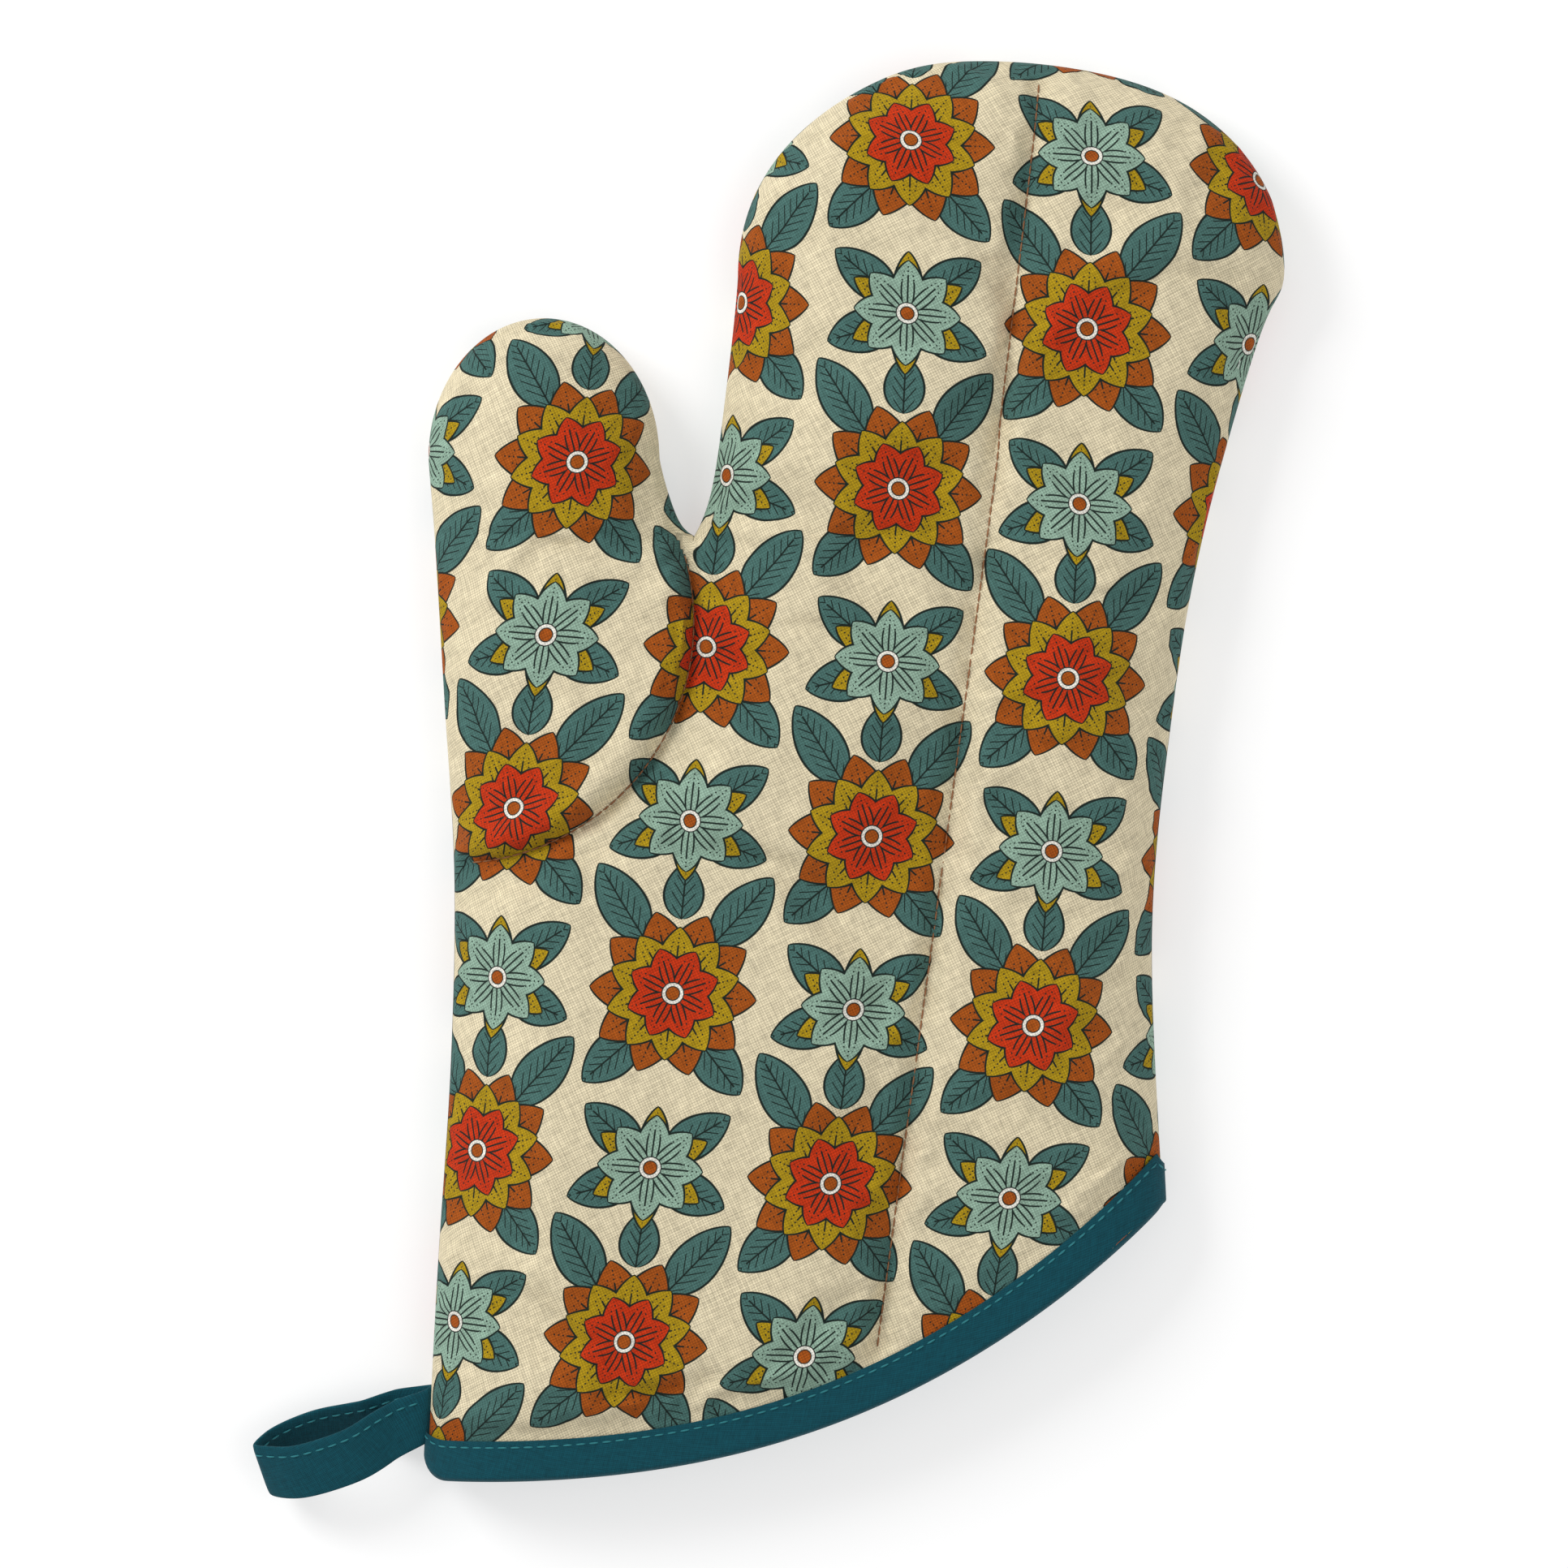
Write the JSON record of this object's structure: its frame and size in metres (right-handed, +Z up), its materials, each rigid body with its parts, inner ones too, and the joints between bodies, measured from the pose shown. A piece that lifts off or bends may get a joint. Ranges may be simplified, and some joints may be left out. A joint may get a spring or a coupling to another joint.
{
  "type": "oven mitt",
  "caption": "Padded oven mitt with a thumb, quilted palm, slanted bound cuff and a hanging loop, for lifting hot dishes",
  "frame": {"origin": "centre of the part's footprint, at the surface it lies on", "axes": "+Y from the cuff to the fingertips, -X to the thumb, +Z up out of the palm, with the back of the mitt on the surface"},
  "size_m": [0.2372, 0.3296, 0.0247],
  "materials": {
    "printed_cotton": "matt plain-weave cotton with a printed flower pattern",
    "batting": "soft fibre wadding",
    "lining_cotton": "plain matt cotton",
    "binding_cotton": "deep teal woven tape, slightly satin",
    "seam_thread": "brown sewing thread",
    "edge_thread": "light teal sewing thread"
  },
  "bodies": {
    "mitt": {"palm_panel": "printed_cotton", "back_panel": "printed_cotton", "palm_batting": "batting", "back_batting": "batting", "palm_lining": "lining_cotton", "back_lining": "lining_cotton", "cuff_binding": "binding_cotton", "side_seam": "seam_thread", "quilt_seam": "seam_thread", "thumb_tuck_seam": "seam_thread", "binding_topstitch": "edge_thread"},
    "loop": {"hanging_loop": "binding_cotton", "loop_topstitch": "edge_thread"}
  },
  "joints": [
    {"name": "loop_swing", "type": "hinge", "parent": "mitt", "child": "loop", "pos_m": [-0.08105, -0.1455, 0.009], "axis": [0, 1, 0], "range_deg": [-75, 75]}
  ]
}
